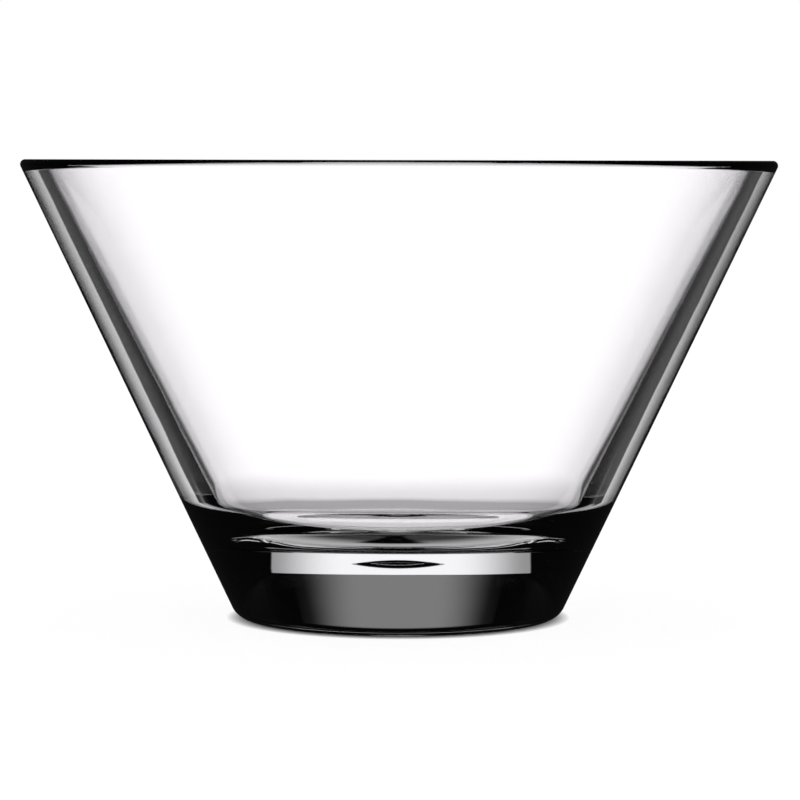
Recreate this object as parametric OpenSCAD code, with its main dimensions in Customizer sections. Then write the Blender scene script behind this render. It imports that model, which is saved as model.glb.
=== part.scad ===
// Conical glass bowl on a thick solid base, pressed in one piece.
// Millimetres, +Z up. The origin is on the bowl's axis, in the plane that its foot stands on.

/* [Rim] */
// Outside diameter across the rim
rim_d = 120; // [95:1:150]
// Radius of the rim's outer edge
rim_outer_r = 0.8; // [0.4:0.1:1.2]
// Radius that rolls the rim over to the inside
rim_inner_r = 1; // [0.6:0.1:2.2]

/* [Wall] */
// Height from the foot to the top of the rim
bowl_h = 73.1; // [55:0.1:90]
// Thickness of the wall at the rim, measured level
rim_wall_t = 3.6; // [2.6:0.1:4.5]
// Thickness of the wall at the level of the floor, measured level
floor_wall_t = 5.6; // [4:0.1:8]

/* [Base] */
// Diameter of the ring that the foot stands on, along its outer edge
stand_d = 47.5; // [40:0.5:60]
// Radius that rounds the foot from the table up to the wall
foot_edge_r = 3.2; // [1:0.1:6]
// Thickness of the glass between the table and the floor of the bowl
floor_t = 14.7; // [8:0.1:20]
// Radius that sweeps the floor up into the wall
floor_edge_r = 11.6; // [5:0.1:15]

/* [Marks of pressing] */
// Inner diameter of the ring that the foot stands on
recess_d = 38; // [25:0.5:40]
// Height of the shallow recess inside that ring
recess_h = 0.8; // [0.3:0.1:2]
// Diameter of the round dimple in the middle of the floor
dimple_d = 10; // [6:0.5:16]
// Depth of the dimple
dimple_h = 0.7; // [0.2:0.1:2]

/* [Hidden] */
$fn = 180;
overrun = 1;

// The outer wall is the straight line that touches the circle at the foot and the circle at the rim.
// A lean is the angle between a wall and the upright.
foot_c = [stand_d / 2, foot_edge_r];
rim_c = [rim_d / 2 - rim_outer_r, bowl_h - rim_outer_r];
foot_to_rim = rim_c - foot_c;
outer_lean = atan2(foot_to_rim[0], foot_to_rim[1])
    - asin((foot_edge_r - rim_outer_r) / norm(foot_to_rim));
outer_normal = [cos(outer_lean), -sin(outer_lean)];
foot_tangent = foot_c + foot_edge_r * outer_normal;
rim_tangent = rim_c + rim_outer_r * outer_normal;

// Radius of the outer wall's line at a height
function outer_x(z) = foot_tangent[0] + (z - foot_tangent[1]) * tan(outer_lean);

// The inner wall is a straight line between the two thicknesses.
inner_top = [outer_x(bowl_h) - rim_wall_t, bowl_h];
inner_foot = [outer_x(floor_t) - floor_wall_t, floor_t];
inner_rise = inner_top - inner_foot;
inner_lean = atan2(inner_rise[0], inner_rise[1]);
inner_normal = [cos(inner_lean), -sin(inner_lean)];

// Radius of the inner wall's line at a height
function inner_x(z) = inner_foot[0] + (z - inner_foot[1]) * tan(inner_lean);

// Circle that rolls the rim over, and circle that sweeps the floor up
lip_z = bowl_h - rim_inner_r;
lip_c = [inner_x(lip_z) + rim_inner_r / cos(inner_lean), lip_z];
sweep_z = floor_t + floor_edge_r;
sweep_c = [inner_x(sweep_z) - floor_edge_r / cos(inner_lean), sweep_z];
lip_tangent = lip_c - rim_inner_r * inner_normal;
sweep_tangent = sweep_c + floor_edge_r * inner_normal;

// Radius of the sphere that leaves a cap of width d and height h
function cap_r(d, h) = (d * d / 4 + h * h) / (2 * h);

// Half section of the glass as if it were solid up to the rim
module outer_half() {
    polygon([[0, 0], [foot_c[0], 0], foot_tangent, rim_tangent, [rim_c[0], bowl_h], [0, bowl_h]]);
    translate(foot_c) circle(r = foot_edge_r);
    translate(rim_c) circle(r = rim_outer_r);
}

// Half section of the space inside the bowl
module space_half() {
    difference() {
        union() {
            polygon([[0, floor_t], [sweep_c[0], floor_t], sweep_tangent, lip_tangent,
                [lip_c[0], bowl_h], [lip_c[0], bowl_h + overrun], [0, bowl_h + overrun]]);
            translate(sweep_c) circle(r = floor_edge_r);
        }
        translate(lip_c) circle(r = rim_inner_r);
    }
}

// Half section of the shallow cap that is taken out of a flat face at height z.
// The middle of its sphere is above the face for side 1, and below it for side -1.
module cap_half(d, h, z, side) {
    intersection() {
        translate([0, z + side * (cap_r(d, h) - h)]) circle(r = cap_r(d, h));
        translate([0, z - h]) square([d / 2, 2 * h]);
    }
}

// The bowl: one piece of clear glass
module glass_bowl() {
    color([0.93, 0.96, 0.96, 0.4])
        rotate_extrude()
            intersection() {
                difference() {
                    outer_half();
                    space_half();
                    cap_half(recess_d, recess_h, 0, -1);
                    cap_half(dimple_d, dimple_h, floor_t, 1);
                }
                square([rim_d, bowl_h]);
            }
}

glass_bowl();
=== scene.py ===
# %% [markdown]
# # A conical glass bowl
# This lesson dresses one piece of tableware: a clear bowl, pressed in one go from hot glass, with a
# straight flared wall on a thick solid base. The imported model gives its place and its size. Here it gets
# a finer surface, a real glass finish and a small studio to stand in, because clear glass has no look of
# its own: what the eye sees is the room behind it, bent by the glass.

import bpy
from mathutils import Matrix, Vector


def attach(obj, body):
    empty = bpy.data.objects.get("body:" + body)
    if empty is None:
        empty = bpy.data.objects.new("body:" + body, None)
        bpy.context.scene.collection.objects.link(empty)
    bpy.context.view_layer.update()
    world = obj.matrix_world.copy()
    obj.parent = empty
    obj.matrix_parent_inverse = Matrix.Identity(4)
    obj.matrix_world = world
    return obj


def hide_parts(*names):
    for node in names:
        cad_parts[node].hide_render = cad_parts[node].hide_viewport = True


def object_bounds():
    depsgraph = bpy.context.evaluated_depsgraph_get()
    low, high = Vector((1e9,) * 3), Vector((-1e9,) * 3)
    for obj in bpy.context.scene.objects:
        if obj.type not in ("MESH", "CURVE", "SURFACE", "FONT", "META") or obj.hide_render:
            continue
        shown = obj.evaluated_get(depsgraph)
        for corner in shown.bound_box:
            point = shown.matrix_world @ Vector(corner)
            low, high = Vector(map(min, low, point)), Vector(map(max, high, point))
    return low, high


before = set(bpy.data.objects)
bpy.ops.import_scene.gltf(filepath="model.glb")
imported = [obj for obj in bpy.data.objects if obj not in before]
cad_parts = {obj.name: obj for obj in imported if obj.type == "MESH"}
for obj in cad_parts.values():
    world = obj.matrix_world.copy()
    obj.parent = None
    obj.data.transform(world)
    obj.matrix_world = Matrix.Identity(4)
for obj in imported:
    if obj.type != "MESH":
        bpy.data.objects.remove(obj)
cad_low, cad_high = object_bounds()
print("packed:", list(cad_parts), "from", tuple(cad_low), "to", tuple(cad_high))

# %% Tools for the lesson
import math

import bmesh
import bpy
from mathutils import Matrix, Vector, noise

MM = 0.001
scene = bpy.context.scene
print("one millimetre is", MM, "of a Blender unit")

# %% [markdown]
# ## The sizes of the bowl
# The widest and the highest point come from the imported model, so the dressed bowl can't drift away from
# it. The other sizes are the ones that the mould was cut to: the thickness of the wall, the radii of the
# rim and the foot, the depth of the floor. Light shows every one of them, because an edge seen through
# glass is doubled by the wall's thickness, and a thick base works as a strong lens.

# %% Sizes of rim, wall and base
DECIMALS = 5
RIM_R = round(cad_high[0], DECIMALS)
BOWL_H = round(cad_high[2], DECIMALS)
RIM_OUTER_R = 0.8 * MM
RIM_INNER_R = 1.0 * MM
RIM_WALL = 3.6 * MM
FLOOR_WALL = 5.6 * MM
STAND_R = 23.75 * MM
FOOT_EDGE_R = 3.2 * MM
FLOOR_Z = 14.7 * MM
FLOOR_EDGE_R = 11.6 * MM
print("rim radius", round(RIM_R / MM, 2), "mm and height", round(BOWL_H / MM, 2), "mm")

# %% [markdown]
# ## Where the two walls lie
# Both sides of the wall are straight lines, and each touches a small circle at its ends: the foot and the
# rim outside, the sweep of the floor and the lip inside. The points where they touch could be read off a
# drawing. They are worked out here from the lean of each wall, so the corners stay smooth whatever radius
# they are given.

# %% The outer wall
foot_centre = Vector((STAND_R, FOOT_EDGE_R))
rim_centre = Vector((RIM_R - RIM_OUTER_R, BOWL_H - RIM_OUTER_R))
foot_to_rim = rim_centre - foot_centre
line_lean = math.atan2(foot_to_rim.x, foot_to_rim.y)
outer_lean = line_lean - math.asin((FOOT_EDGE_R - RIM_OUTER_R) / foot_to_rim.length)
outer_degrees = math.degrees(outer_lean)
outer_normal = Vector((math.cos(outer_lean), -math.sin(outer_lean)))
foot_tangent = foot_centre + FOOT_EDGE_R * outer_normal
rim_tangent = rim_centre + RIM_OUTER_R * outer_normal


def outer_x(z):
    """Radius of the outer wall at a height."""
    return foot_tangent.x + (z - foot_tangent.y) * math.tan(outer_lean)


print("the outer wall leans", round(outer_degrees, 2), "degrees from upright")

# %% The inner wall
inner_foot = Vector((outer_x(FLOOR_Z) - FLOOR_WALL, FLOOR_Z))
inner_top = Vector((outer_x(BOWL_H) - RIM_WALL, BOWL_H))
inner_lean = math.atan2(inner_top.x - inner_foot.x, inner_top.y - inner_foot.y)
inner_degrees = math.degrees(inner_lean)
inner_normal = Vector((math.cos(inner_lean), -math.sin(inner_lean)))


def inner_x(z):
    """Radius of the inner wall at a height."""
    return inner_foot.x + (z - inner_foot.y) * math.tan(inner_lean)


lip_z = BOWL_H - RIM_INNER_R
lip_centre = Vector((inner_x(lip_z) + RIM_INNER_R / math.cos(inner_lean), lip_z))
sweep_z = FLOOR_Z + FLOOR_EDGE_R
sweep_centre = Vector((inner_x(sweep_z) - FLOOR_EDGE_R / math.cos(inner_lean), sweep_z))
sweep_tangent = sweep_centre + FLOOR_EDGE_R * inner_normal
print("the inner wall leans", round(inner_degrees, 2), "degrees from upright")

# %% [markdown]
# ## A pen for the outline
# A pressed bowl is round because its mould was turned on a lathe, so half of its section, swept once
# round the axis, is the whole shape. The outline could be typed as a long list of points. Here it is
# drawn with a pen instead: a straight stretch extrudes the last point, and a rounded corner spins the
# last point about the corner's centre. Each radius stays one number that can be changed.
#
# A straight stretch starts and ends with a very short step. Smooth shading mixes the directions of
# neighbouring faces, and in glass the slightest mistake there shows as a crooked highlight. The short
# step keeps the mixing inside the corner.

# %% Straight stretches
SHORT_STEP = 0.06 * MM


def draw_straight(bm, last, point, steps=1):
    """Extrudes the last point to a new one in equal steps, with a very short step at both ends."""
    start = last.co.copy()
    goal = Vector((point[0], 0, point[1]))
    short = SHORT_STEP / (goal - start).length
    inner_shares = [step / steps for step in range(1, steps)]
    for share in [short] + inner_shares + [1 - short, 1]:
        made = bmesh.ops.extrude_vert_indiv(bm, verts=[last])
        last = made["verts"][0]
        last.co = start.lerp(goal, share)
    return last


print("short step:", SHORT_STEP / MM, "mm")

# %% Rounded corners
RIGHT_ANGLE = 90


def draw_round(bm, last, centre, degrees, steps):
    """Spins the last point about a centre in the section's plane and returns the new last point."""
    made = bmesh.ops.spin(bm, geom=[last], cent=(centre[0], 0, centre[1]), axis=(0, 1, 0),
                          angle=math.radians(degrees), steps=steps)
    return [part for part in made["geom_last"] if isinstance(part, bmesh.types.BMVert)][0]


def cap_ball(half_width, height):
    """Radius of the ball whose cap has this half width and height."""
    return (half_width ** 2 + height ** 2) / (2 * height)


def cap_degrees(half_width, ball):
    """Angle of the cap's edge, seen from the middle of its ball."""
    return math.degrees(math.asin(half_width / ball))


print("the foot turns through", round(RIGHT_ANGLE - outer_degrees, 1), "degrees")

# %% [markdown]
# ## The foot
# The bowl doesn't stand on its whole underside, because pressed glass is never quite flat. A shallow
# hollow leaves a flat ring to stand on. The hollow could be cut out afterwards with a boolean, which
# leaves a ragged ring of faces. It is drawn as the first stroke of the outline, from the axis outwards,
# and the foot's rounding follows.

# %% Draw the underside and the foot
RECESS_R = 19 * MM
RECESS_H = 0.8 * MM
RECESS_STEPS = 12
STAND_STEPS = 3
ROUND_STEPS = 24

recess_ball = cap_ball(RECESS_R, RECESS_H)
outline = bmesh.new()
pen = outline.verts.new((0, 0, RECESS_H))
pen = draw_round(outline, pen, (0, RECESS_H - recess_ball), cap_degrees(RECESS_R, recess_ball),
                 RECESS_STEPS)
pen = draw_straight(outline, pen, (STAND_R, 0), STAND_STEPS)
pen = draw_round(outline, pen, foot_centre, outer_degrees - RIGHT_ANGLE, ROUND_STEPS)
print("outline points up to the foot:", len(outline.verts))

# %% [markdown]
# ## The wall and the rolled rim
# The outer wall of the real bowl is one clean cone. At the top the mould's edge would leave the glass
# sharp, so a flame melts it round: a small radius outside, a slightly larger one inside, and a narrow
# flat between them. A bevel on a sharp rim would make both radii alike. Two strokes of the pen keep them
# apart.

# %% Draw the wall, the rim and the inside of the wall
WALL_STEPS = 36

pen = draw_straight(outline, pen, rim_tangent, WALL_STEPS)
pen = draw_round(outline, pen, rim_centre, -RIGHT_ANGLE - outer_degrees, ROUND_STEPS)
pen = draw_straight(outline, pen, (lip_centre.x, BOWL_H))
pen = draw_round(outline, pen, lip_centre, inner_degrees - RIGHT_ANGLE, ROUND_STEPS)
pen = draw_straight(outline, pen, sweep_tangent, WALL_STEPS)
print("outline points up to the floor's sweep:", len(outline.verts))

# %% [markdown]
# ## The floor and its round mark
# Inside, the wall sweeps down into a flat floor, 14.7 mm above the table. In the middle the press has
# left a round, shallow mark. Seen level through the thick base, it is the dark lens in the white band. A
# ring groove was tried and gave rings inside the lens, so the mark is a plain shallow cap.

# %% Draw the sweep, the floor and the mark
DIMPLE_R = 5 * MM
DIMPLE_H = 0.7 * MM
SWEEP_STEPS = 40
FLAT_STEPS = 6
DIMPLE_STEPS = 10

dimple_ball = cap_ball(DIMPLE_R, DIMPLE_H)
pen = draw_round(outline, pen, sweep_centre, RIGHT_ANGLE - inner_degrees, SWEEP_STEPS)
pen = draw_straight(outline, pen, (DIMPLE_R, FLOOR_Z), FLAT_STEPS)
pen = draw_round(outline, pen, (0, FLOOR_Z - DIMPLE_H + dimple_ball), cap_degrees(DIMPLE_R, dimple_ball),
                 DIMPLE_STEPS)
print("outline points in all:", len(outline.verts))

# %% [markdown]
# ## Once round the axis
# A screw modifier could turn the outline into the bowl and stay changeable. The spin operator is chosen
# because it makes plain geometry at once, which the next step can ripple. It is given use_merge, so the
# last ring joins the first. The points on the axis are then merged into one, and the faces are turned to
# point outwards, because light bends the wrong way through a wall that is inside out.

# %% Sweep the outline into the bowl
ROUND_FACES = 320
MERGE_DISTANCE = 0.002 * MM
CM3 = 1e-6

bmesh.ops.spin(outline, geom=outline.verts[:] + outline.edges[:], cent=(0, 0, 0), axis=(0, 0, 1),
               angle=math.tau, steps=ROUND_FACES, use_merge=True)
bmesh.ops.remove_doubles(outline, verts=outline.verts, dist=MERGE_DISTANCE)
bmesh.ops.recalc_face_normals(outline, faces=outline.faces)
outline.normal_update()
open_edges = [edge for edge in outline.edges if len(edge.link_faces) != 2]
print("open edges:", len(open_edges), "and glass:", round(outline.calc_volume() / CM3, 2), "cm3")

# %% [markdown]
# ## The chilled floor
# Hot glass stiffens first where it meets the cold plunger, and the floor of a pressed bowl keeps faint
# ripples from it. They are far too low to feel, a fiftieth of a millimetre, but the thick base enlarges
# them, and they break its inner reflections into the uneven streaks of the real piece. A bump in the
# material would tilt the shading only. Moving the points along their normals bends the light truly. The
# ripples fade out up the wall, which is thin and looks even.

# %% Ripple the floor
RIPPLE_H = 0.02 * MM
RIPPLE_SIZE = 7 * MM
RIPPLE_SQUEEZE = 0.5
RIPPLE_LOW = 10 * MM
RIPPLE_HIGH = 32 * MM
RIPPLE_FADE = 10 * MM
SKIN = 1 * MM

rippled = 0
for vert in outline.verts:
    x, y, z = vert.co
    if z > RIPPLE_LOW and math.hypot(x, y) < inner_x(z) + SKIN:
        fade = min(1, max(0, (RIPPLE_HIGH - z) / RIPPLE_FADE))
        ripple = noise.noise(Vector((x, y * RIPPLE_SQUEEZE, z)) / RIPPLE_SIZE)
        vert.co += vert.normal * RIPPLE_H * ripple * fade
        rippled += fade > 0
print("points that carry a ripple:", rippled)

# %% Hand the bowl to the frame
for face in outline.faces:
    face.smooth = True
triangles = sum(len(face.verts) - 2 for face in outline.faces)
bowl_mesh = bpy.data.meshes.new("clear_bowl")
outline.to_mesh(bowl_mesh)
outline.free()
clear_bowl = bpy.data.objects.new("clear_bowl", bowl_mesh)
scene.collection.objects.link(clear_bowl)
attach(clear_bowl, "root")
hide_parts("glass_bowl")
print("the bowl has", triangles, "triangles")

# %% [markdown]
# ## Two helpers for nodes
# Materials and the studio are all made of nodes. Setting each one by hand takes four lines, so one helper
# adds a node with its settings. A second one adds a Math node and joins whatever it is given. It needs
# no tree, because a socket knows the tree that it belongs to.

# %% Helpers for nodes


def add_node(tree, kind, values=None, **settings):
    """Adds a node, sets its properties, and gives its inputs plain values by name or number."""
    node = tree.nodes.new(kind)
    for name, value in settings.items():
        setattr(node, name, value)
    for name, value in (values or {}).items():
        node.inputs[name].default_value = value
    return node


def calc(operation, *values):
    """Adds a Math node for sockets and numbers, at least one of them a socket, and returns its output."""
    tree = [value.id_data for value in values if hasattr(value, "id_data")][0]
    node = add_node(tree, "ShaderNodeMath", operation=operation)
    for socket, value in zip(node.inputs, values):
        if hasattr(value, "id_data"):
            tree.links.new(value, socket)
        else:
            socket.default_value = value
    return node.outputs[0]


print("helpers:", add_node.__name__, "and", calc.__name__)

# %% [markdown]
# ## The glass
# Soda-lime glass is clear, bends light by 1.52 and is polished by the flame, so it has no roughness at
# all. The Principled shader does this with its transmission at 1. The finish is in what is not perfect:
# a trace of lilac that comes from the decolouriser in the melt and drifts a little through the piece, and
# a slow waviness of a few thousandths of a millimetre, which makes highlights swim. Both are noise on
# Object coordinates, so they stay on the bowl when it is moved.
#
# The Mix node has a pair of inputs A and B for each kind of data, all with the same two names, so the
# pair for colours is picked by number.

# %% Clear pressed glass
GLASS_IOR = 1.52
LILAC_CLEAR = (0.993, 0.980, 0.997, 1)
LILAC_DEEP = (0.987, 0.973, 0.992, 1)
TINT_SCALE = 45
COLOUR_A = 6
COLOUR_B = 7
COLOUR_RESULT = 2

glass = bpy.data.materials.new("clear_pressed_glass")
glass.use_nodes = True
melt = glass.node_tree
shader = melt.nodes["Principled BSDF"]
shader.inputs["Roughness"].default_value = 0
shader.inputs["IOR"].default_value = GLASS_IOR
shader.inputs["Transmission Weight"].default_value = 1
on_bowl = add_node(melt, "ShaderNodeTexCoord").outputs["Object"]
cloud = add_node(melt, "ShaderNodeTexNoise", {"Scale": TINT_SCALE})
tint = add_node(melt, "ShaderNodeMix", {COLOUR_A: LILAC_DEEP, COLOUR_B: LILAC_CLEAR}, data_type="RGBA")
melt.links.new(on_bowl, cloud.inputs["Vector"])
melt.links.new(cloud.outputs[0], tint.inputs["Factor"])
melt.links.new(tint.outputs[COLOUR_RESULT], shader.inputs["Base Color"])
clear_bowl.data.materials.append(glass)
print("glass nodes with the tint:", len(melt.nodes))

# %% The waviness of fire-polished glass
WAVE_SCALE = 120
WAVE_DETAIL = 1
WAVE_H = 0.008 * MM

slow_waves = add_node(melt, "ShaderNodeTexNoise", {"Scale": WAVE_SCALE, "Detail": WAVE_DETAIL})
bump = add_node(melt, "ShaderNodeBump", {"Distance": WAVE_H})
melt.links.new(on_bowl, slow_waves.inputs["Vector"])
melt.links.new(slow_waves.outputs[0], bump.inputs["Height"])
melt.links.new(bump.outputs[0], shader.inputs["Normal"])
print("waves are at most", round(WAVE_H / MM, 3), "mm high")

# %% [markdown]
# ## A sheet of white paper to stand on
# The bowl stands on a white ground with no horizon, and only a thin grey line of contact under the foot.
# A lit floor would need its lamps tuned until it was just white. This sheet glows by itself, and ambient
# occlusion with a very short reach dims it where the foot comes close, which is the contact shadow. A
# little diffuse grey keeps it a real surface.

# %% The sheet
SHEET_R = 1.2
SHEET_SIDES = 96

sheet_mesh = bpy.data.meshes.new("white_sheet")
disc = bmesh.new()
bmesh.ops.create_circle(disc, cap_ends=True, segments=SHEET_SIDES, radius=SHEET_R)
disc.to_mesh(sheet_mesh)
disc.free()
white_sheet = bpy.data.objects.new("white_sheet", sheet_mesh)
scene.collection.objects.link(white_sheet)
print("the sheet is", 2 * SHEET_R, "m across")

# %% The sheet as the eye sees it
PAPER_GREY = (0.15, 0.15, 0.15, 1)
PAPER_GLOW = 0.87
CONTACT_REACH = 1.8 * MM

paper = bpy.data.materials.new("white_paper")
paper.use_nodes = True
pulp = paper.node_tree
pulp.nodes.clear()
contact = add_node(pulp, "ShaderNodeAmbientOcclusion", {"Distance": CONTACT_REACH})
grey = add_node(pulp, "ShaderNodeBsdfDiffuse", {"Color": PAPER_GREY})
own_light = add_node(pulp, "ShaderNodeEmission")
seen_paper = add_node(pulp, "ShaderNodeAddShader")
pulp.links.new(calc("MULTIPLY", contact.outputs["AO"], PAPER_GLOW), own_light.inputs["Strength"])
pulp.links.new(grey.outputs[0], seen_paper.inputs[0])
pulp.links.new(own_light.outputs[0], seen_paper.inputs[1])
white_sheet.data.materials.append(paper)
print("paper nodes for the eye:", len(pulp.nodes))

# %% [markdown]
# ## The sheet as the glass sees it
# Light that has passed through the glass should meet the whole studio, table and all, and the studio
# comes next as a painted world. So the sheet lets such light through. One thing is painted on it: a
# round dark patch close behind the bowl, painted shade that draws a dark line along the foot in the
# glass's reflections. It is seen only by light that has been reflected, so it stays out of the clear
# wall. The Light Path node counts reflections in whole numbers, and half a count tells none from any.

# %% Painted shade: a dark patch behind the bowl
SHADE_PATCH_CENTRE = (0, 60 * MM, 0)
SHADE_PATCH_R = 36 * MM
HALF_COUNT = 0.5

rays = add_node(pulp, "ShaderNodeLightPath")
on_sheet = add_node(pulp, "ShaderNodeTexCoord").outputs["Object"]
reach = add_node(pulp, "ShaderNodeVectorMath", {1: SHADE_PATCH_CENTRE}, operation="DISTANCE")
pulp.links.new(on_sheet, reach.inputs[0])
on_shade_patch = calc("LESS_THAN", reach.outputs["Value"], SHADE_PATCH_R)
was_reflected = calc("GREATER_THAN", rays.outputs["Glossy Depth"], HALF_COUNT)
let_through = add_node(pulp, "ShaderNodeBsdfTransparent")
# painted shade on the sheet: this patch is black, and only reflected light sees it
painted_shade_patch = add_node(pulp, "ShaderNodeEmission", {"Strength": 0})
under_glass = add_node(pulp, "ShaderNodeMixShader")
pulp.links.new(calc("MULTIPLY", on_shade_patch, was_reflected), under_glass.inputs[0])
pulp.links.new(let_through.outputs[0], under_glass.inputs[1])
pulp.links.new(painted_shade_patch.outputs[0], under_glass.inputs[2])
print("the card is", round(2 * SHADE_PATCH_R / MM), "mm wide, its middle", round(SHADE_PATCH_CENTRE[1] / MM), "mm back")

# %% One paper for both
from_glass = calc("MAXIMUM", rays.outputs["Is Glossy Ray"], rays.outputs["Is Transmission Ray"])
either = add_node(pulp, "ShaderNodeMixShader")
pulp_out = add_node(pulp, "ShaderNodeOutputMaterial")
pulp.links.new(from_glass, either.inputs[0])
pulp.links.new(seen_paper.outputs[0], either.inputs[1])
pulp.links.new(under_glass.outputs[0], either.inputs[2])
pulp.links.new(either.outputs[0], pulp_out.inputs[0])
print("paper nodes in all:", len(pulp.nodes))

# %% [markdown]
# ## A studio painted round the bowl
# The room is half of the picture of a glass. It could be built from panels and lamps, each with its own
# place. Here it is painted into the world: each direction gets its brightness from a few soft edges in
# azimuth and height, both measured in degrees from the bowl. That renders fast, and the room stays where
# it is when the camera walks round. The main panels repeat every quarter turn, so every side of the bowl
# has one behind it.

# %% Azimuth and height of a direction
QUARTER = math.pi / 2
EIGHTH = QUARTER / 2

studio_world = bpy.data.worlds.new("glass_studio")
scene.world = studio_world
studio_world.use_nodes = True
sky = studio_world.node_tree
sky.nodes.clear()
direction = add_node(sky, "ShaderNodeTexCoord").outputs["Generated"]
split = add_node(sky, "ShaderNodeSeparateXYZ")
sky.links.new(direction, split.inputs[0])
azimuth = calc("ARCTAN2", split.outputs["X"], split.outputs["Y"])
height = calc("ARCSINE", split.outputs["Z"])
side_turn = calc("ABSOLUTE", azimuth)
shifted = calc("ADD", azimuth, math.tau + EIGHTH)
off_main = calc("ABSOLUTE", calc("SUBTRACT", calc("MODULO", shifted, QUARTER), EIGHTH))
off_diagonal = calc("SUBTRACT", EIGHTH, off_main)
print("main panels every", round(math.degrees(QUARTER)), "degrees")

# %% [markdown]
# ## Soft edges
# The edge of a real panel is seldom hard, because cloth glows less towards its frame. An image of the
# room could hold such edges. Here an edge is a pair of angles, and a second pair gives the brightness at
# each of them, so a panel's side is one named line of numbers that is easy to move. Panels are products
# of their edges, and where two of them overlap the brighter one counts.

# %% Helpers for soft edges
DEG = math.radians(1)


def ramp(angle, edge, levels=(0, 1)):
    """Goes smoothly from the first level to the second, between the two angles of an edge, in degrees."""
    (start, first), (end, last) = sorted(zip(edge, levels))
    values = {"From Min": start * DEG, "From Max": end * DEG, "To Min": first, "To Max": last}
    node = add_node(angle.id_data, "ShaderNodeMapRange", values, interpolation_type="SMOOTHSTEP")
    angle.id_data.links.new(angle, node.inputs["Value"])
    return node.outputs[0]


def chain(operation, *values):
    """Joins any number of values by one operation, two at a time."""
    total = values[0]
    for value in values[1:]:
        total = calc(operation, total, value)
    return total


def product(*values):
    """Multiplies any number of values."""
    return chain("MULTIPLY", *values)


def largest(*values):
    """Takes the largest of any number of values."""
    return chain("MAXIMUM", *values)


print("one degree is", round(DEG, 4), "radians")

# %% [markdown]
# ## How often the light was turned back
# In the wall, light goes straight through, but in the thick base it is thrown back from side to side
# before it leaves. Each time the Light Path node counts one more glossy bounce. A photographer moves small
# cards about until each part of a glass looks right. The count does the same here: it tells the clear
# wall, the base and its deep corners apart, so each can have its own panels. After seven turns the light
# is spent.

# %% Sort the light by its reflections
LAST_TURN = 7

path = add_node(sky, "ShaderNodeLightPath")
turns = path.outputs["Glossy Depth"]
direct = calc("LESS_THAN", turns, HALF_COUNT)
bounced = calc("SUBTRACT", 1, direct)
often = calc("GREATER_THAN", turns, 1 + HALF_COUNT)
once = calc("SUBTRACT", bounced, often)
not_spent = calc("LESS_THAN", turns, LAST_TURN + HALF_COUNT)
print("nodes that sort the light:", len(sky.nodes))

# %% [markdown]
# ## Behind the clear wall
# The wall of the real bowl is nearly white in the middle and darkens towards its sides, where the glass
# is seen at a slant and bends the view past the edge of the white panel. A broad panel with soft sides
# does that, brighter towards the top. Narrow panels stand between the broad ones for the other views. The
# table is a shade darker and gives the grey line over the floor, and a faint glow above fills the rim.

# %% Panels for light that goes straight through
PANEL_TOP = (16, 12)
PANEL_FOOT = (-38, -26)
BROAD_SIDE = (26, 21.5)
BROAD_CLIMB = (-26, -3)
BROAD_LEVELS = (0.95, 1.42)
NARROW_SIDE = (17, 11)

panel_height = product(ramp(height, PANEL_TOP), ramp(height, PANEL_FOOT))
broad_panel = product(ramp(off_main, BROAD_SIDE), panel_height, ramp(height, BROAD_CLIMB, BROAD_LEVELS))
narrow_panel = product(ramp(off_diagonal, NARROW_SIDE), panel_height)
print("the broad panel is", 2 * BROAD_SIDE[0], "degrees wide")

# %% Table and glow for light that goes straight through
TABLE_EDGE = (-27, -33)
TABLE_FADE = (-38, -60)
TABLE_LEVELS = (0.5, 0.85)
GLOW_SIDE = (27.5, 8)
GLOW_LEVELS = (0, 0.22)
GLOW_EDGE = (28, 27.5)
EDGE_LEVELS = (0, 0.02)
GLOW_TOP = (31, 25)
GLOW_FOOT = (8, 16)

table = product(ramp(height, TABLE_EDGE), ramp(height, TABLE_FADE, TABLE_LEVELS))
glow = largest(ramp(off_main, GLOW_SIDE, GLOW_LEVELS), ramp(off_main, GLOW_EDGE, EDGE_LEVELS))
glow = product(glow, ramp(height, GLOW_TOP), ramp(height, GLOW_FOOT))
seen_straight = product(largest(broad_panel, narrow_panel, table, glow), direct)
print("the table starts", -TABLE_EDGE[0], "degrees below the horizon")

# %% [markdown]
# ## After one reflection
# Light that the wall or the base has turned back once draws the grey stripe along the wall's edge and the
# streaks over the base. On the real bowl these are darker than the clear wall and have hard ends, because
# the white there is a narrower card. A dim panel with two straight sides stands for it, darkest in its
# middle, and a dim table with one dark spot gives the small black patch in the middle of the base.

# %% A dim panel
CARD_LEFT = (-26, -24)
CARD_RIGHT = (23, 21)
LOW_HALF = (3, -3)
DIM_SIDE = (8, 25)
DIM_LEVELS = (0.36, 0.86)
DIM_MIDDLE = (2.5, 5)
MIDDLE_LEVELS = (0.1, 1)
FAR_SIDE = (37, 25)
FAR_LEVELS = (0, 0.06)

card_sides = product(ramp(azimuth, CARD_LEFT), ramp(azimuth, CARD_RIGHT))
low_half = ramp(height, LOW_HALF)
dim_panel = product(card_sides, panel_height, low_half, ramp(side_turn, DIM_SIDE, DIM_LEVELS),
                    ramp(side_turn, DIM_MIDDLE, MIDDLE_LEVELS))
far_panel = product(ramp(side_turn, FAR_SIDE, FAR_LEVELS), panel_height, low_half)
print("the dim panel reaches from", CARD_LEFT[0], "to", CARD_RIGHT[0], "degrees")

# %% A dim table with a dark spot
SPOT_TURN = 2
SPOT_SIDE = (10, 6)
SPOT_TOP = (-43, -48)
DIM_TABLE_EDGE = (-20, -25)
DIM_TABLE_SIDE = (33, 29)
DIM_TABLE_FADE = (-32, -62)
DIM_TABLE_LEVELS = (0.46, 0.04)

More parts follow.
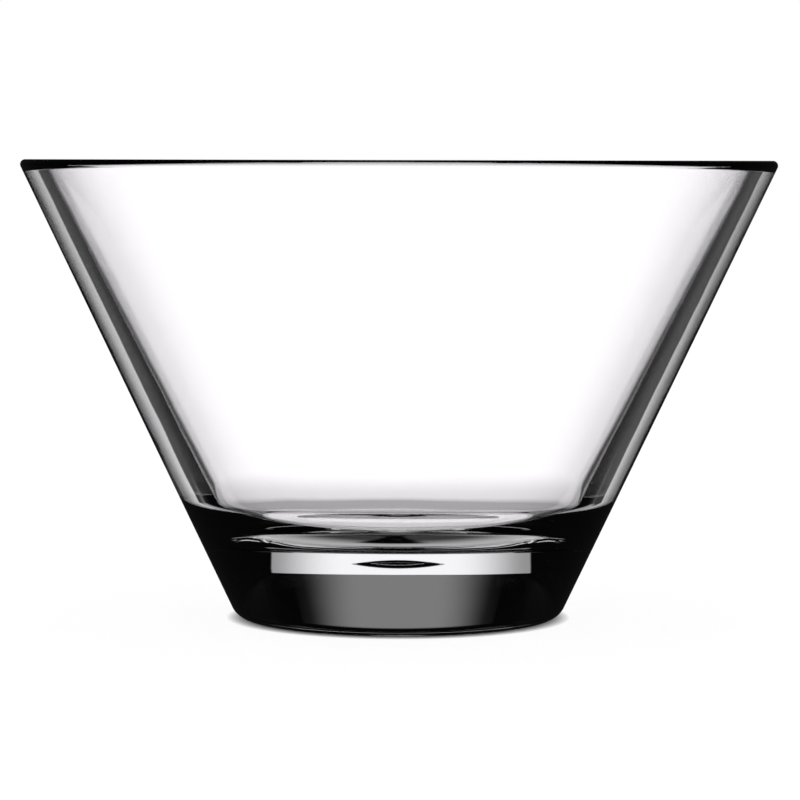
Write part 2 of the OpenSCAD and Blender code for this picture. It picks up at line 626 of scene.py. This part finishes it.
spot_turn = calc("ABSOLUTE", calc("ADD", azimuth, SPOT_TURN * DEG))
dark_spot = product(ramp(spot_turn, SPOT_SIDE), ramp(height, SPOT_TOP))
dim_table = product(ramp(height, DIM_TABLE_EDGE), ramp(side_turn, DIM_TABLE_SIDE),
                    ramp(height, DIM_TABLE_FADE, DIM_TABLE_LEVELS), calc("SUBTRACT", 1, dark_spot))
seen_once = product(largest(dim_panel, far_panel, dim_table), once)
print("nodes of the studio so far:", len(sky.nodes))

# %% [markdown]
# ## After several reflections
# The thick corner of the base turns light back again and again, and the real one is nearly black with a
# few bright slivers. Plain black would look like tar. A narrow panel that is brightest low down, the
# table again and a faint glimmer keep the slivers, and the black between them is the unlit room.

# %% Slivers in the base
SLIVER_SIDE = (7, 13)
SLIVER_LEVELS = (0.9, 0.05)
SLIVER_DROP = (-8, -25)
DROP_LEVELS = (0.25, 1)
SLIVER_TABLE_SIDE = (42, 38)
SLIVER_TABLE = 0.8
GLIMMER_FOOT = (-70, -60)
GLIMMER_TOP = (38, 32)
GLIMMER_SIDE = (34, 26)
GLIMMER = 0.2

sliver_panel = product(card_sides, panel_height, ramp(side_turn, SLIVER_SIDE, SLIVER_LEVELS),
                       ramp(height, SLIVER_DROP, DROP_LEVELS))
sliver_table = product(table, ramp(side_turn, SLIVER_TABLE_SIDE), SLIVER_TABLE)
glimmer = product(ramp(height, GLIMMER_FOOT), ramp(height, GLIMMER_TOP), ramp(side_turn, GLIMMER_SIDE),
                  GLIMMER)
seen_often = product(largest(sliver_panel, sliver_table, glimmer), often, not_spent)
print("nodes of the studio so far:", len(sky.nodes))

# %% [markdown]
# ## The white band in the base
# A bright, straight band crosses the base of the real bowl, with a clean end at each side. It is the strip
# of the panel just above the horizon, seen in the underside as in a mirror. Its ends sit at the panel's
# upright edges. Its upper limit is bowed down towards the sides, by the square of the azimuth, because
# the round base would bend a level edge up there.

# %% The band
BAND_FOOT = (1, 4)
BAND_TOP = (18, 14)
BAND_BOW = 0.4
BAND_RIGHT = (28.8, 28)
BAND_LEFT = (-30.8, -30)
BAND_SIDE = (29.5, 10)
BAND_LEVELS = (0.33, 1.02)

bowed_height = calc("ADD", height, product(side_turn, side_turn, BAND_BOW))
band = product(ramp(height, BAND_FOOT), ramp(bowed_height, BAND_TOP), bounced, not_spent,
               ramp(azimuth, BAND_RIGHT), ramp(azimuth, BAND_LEFT), ramp(side_turn, BAND_SIDE, BAND_LEVELS))
print("the band is", round(BAND_RIGHT[0] - BAND_LEFT[0], 1), "degrees wide")

# %% [markdown]
# ## What each kind of light sees
# Light that leaves the glass after passing through it sees the studio. Light that only glances off the
# outside sees almost nothing, because the room in front of the bowl is dark, and that keeps the rim and
# the outline crisp and black. The camera and the paper see an even white of strength 1, the plain level
# at which a colour looks as it is written.

# %% Join the studio
UNLIT = 0.001
DARK_ROOM = 0.01
WHITE = 1.0
WHITE_COLOUR = (1, 1, 1, 1)

passed = path.outputs["Is Transmission Ray"]
studio = calc("ADD", largest(seen_straight, seen_once, seen_often, band), UNLIT)
studio = calc("ADD", product(passed, studio), product(calc("SUBTRACT", 1, passed), DARK_ROOM))
seen_in_glass = product(calc("MAXIMUM", path.outputs["Is Glossy Ray"], passed),
                        calc("LESS_THAN", path.outputs["Diffuse Depth"], HALF_COUNT))
strength = add_node(sky, "ShaderNodeMix", {"A": WHITE}, data_type="FLOAT")
back = add_node(sky, "ShaderNodeBackground", {"Color": WHITE_COLOUR})
sky_out = add_node(sky, "ShaderNodeOutputWorld")
sky.links.new(seen_in_glass, strength.inputs["Factor"])
sky.links.new(studio, strength.inputs["B"])
sky.links.new(strength.outputs["Result"], back.inputs["Strength"])
sky.links.new(back.outputs[0], sky_out.inputs[0])
print("nodes of the studio in all:", len(sky.nodes))

# %% [markdown]
# ## The camera
# The rim of the bowl is seen almost edge on, so the camera stands level with it and looks down a little.
# Its distance shows in how much wider the near rim looks than the far one, and 56 cm with a long lens
# fits. The turn about its own axis is a tenth of a degree, which is how straight the bowl stands in the
# picture.

# %% Place the camera
FOCAL_PX = 3524
FRAME_PX = 800
SENSOR = 36
CAMERA_SIDE = 0.23 * MM
CAMERA_BACK = 562.2 * MM
LOOK_DOWN = math.radians(3.896)
ROLL = 0.0023
NEAREST = 10 * MM

camera_data = bpy.data.cameras.new("level_camera")
camera_data.sensor_width = SENSOR
camera_data.lens = FOCAL_PX / FRAME_PX * SENSOR
camera_data.clip_start = NEAREST
camera = bpy.data.objects.new("level_camera", camera_data)
scene.collection.objects.link(camera)
camera.location = (CAMERA_SIDE, -CAMERA_BACK, BOWL_H)
tilt = Matrix.Rotation(QUARTER - LOOK_DOWN, 3, "X") @ Matrix.Rotation(ROLL, 3, "Z")
camera.rotation_euler = tilt.to_euler()
scene.camera = camera
print("focal length:", round(camera_data.lens, 1), "mm")

# %% [markdown]
# ## Last settings
# The Standard view shows a white of 1 as white. A ray may need many turns inside the base before it gets
# out, and with the usual limit it would be dropped as a black speck, so the limits for glass are raised.

# %% View and bounces
GLASS_BOUNCES = 24

scene.view_settings.view_transform = "Standard"
scene.cycles.max_bounces = GLASS_BOUNCES
scene.cycles.transmission_bounces = GLASS_BOUNCES
scene.cycles.glossy_bounces = GLASS_BOUNCES
print("light may turn", scene.cycles.max_bounces, "times")
